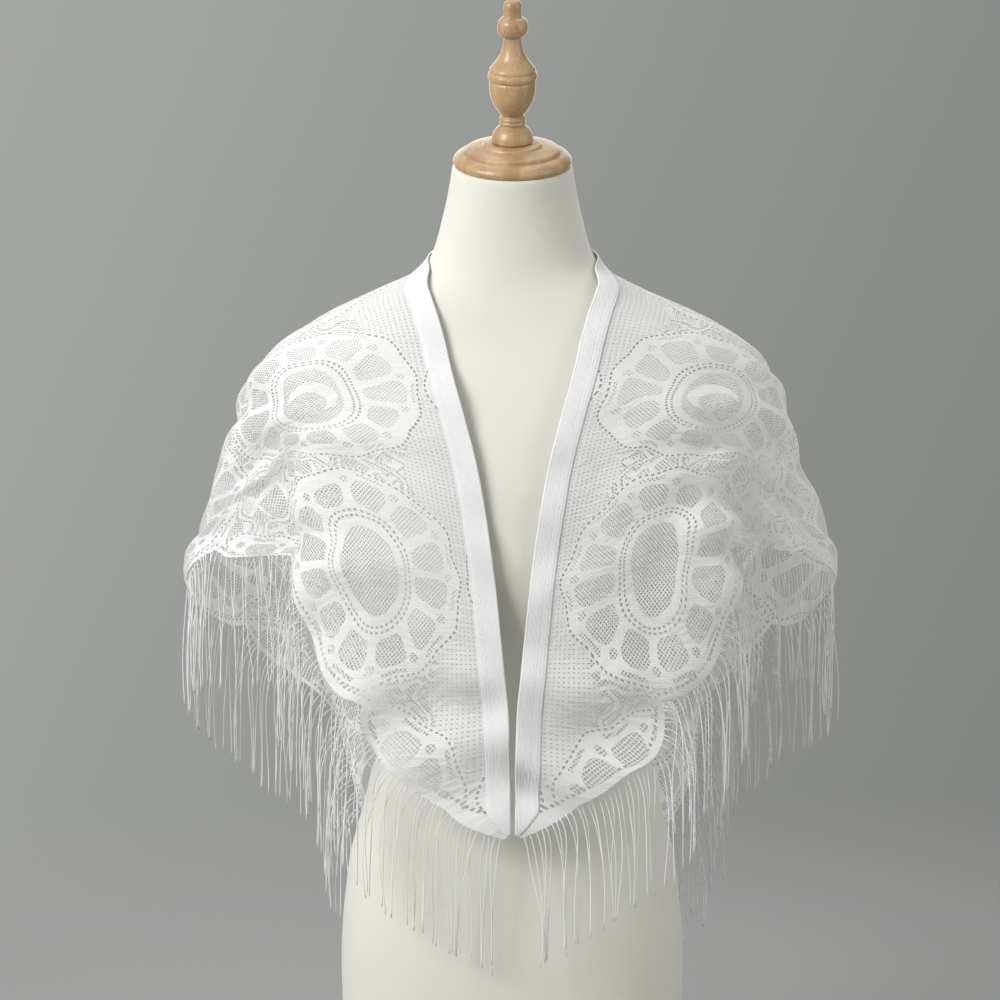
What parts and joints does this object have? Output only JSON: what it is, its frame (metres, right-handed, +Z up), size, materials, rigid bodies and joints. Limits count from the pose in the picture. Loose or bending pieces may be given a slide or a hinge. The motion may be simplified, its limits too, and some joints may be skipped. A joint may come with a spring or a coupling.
{
  "type": "lace shawl on a limbless dress form",
  "caption": "White triangular lace shawl with a ribbed band along its long edge and a long thread fringe, worn open over an ivory limbless dress form with a turned wooden cap and finial.",
  "frame": {"origin": "centre of the bounding box's underside, which is the floor that the dress form stands on", "axes": "+Z up along the form, the form faces -Y, +X is the picture's right, seen from the front"},
  "size_m": [0.6007, 0.2879, 1.0747],
  "materials": {
    "lace": "openwork raschel lace, soft matt white",
    "band": "close ribbed knit edge, matt white",
    "fringe": "smooth white thread",
    "jersey": "tight ivory jersey cover, matt",
    "beech": "turned beech, satin lacquer"
  },
  "bodies": {
    "root": {"torso": "jersey", "neck_cap": "beech", "finial": "beech", "neck_band_left": "band", "neck_band_nape": "band", "neck_band_right": "band", "lace_left_front": "lace", "lace_left_shoulder": "lace", "lace_back_left": "lace", "lace_back_right": "lace", "lace_right_shoulder": "lace", "lace_right_front": "lace", "fringe_left_front": "fringe", "fringe_left_shoulder": "fringe", "fringe_back_left": "fringe", "fringe_back_right": "fringe", "fringe_right_shoulder": "fringe", "fringe_right_front": "fringe"}
  },
  "joints": []
}
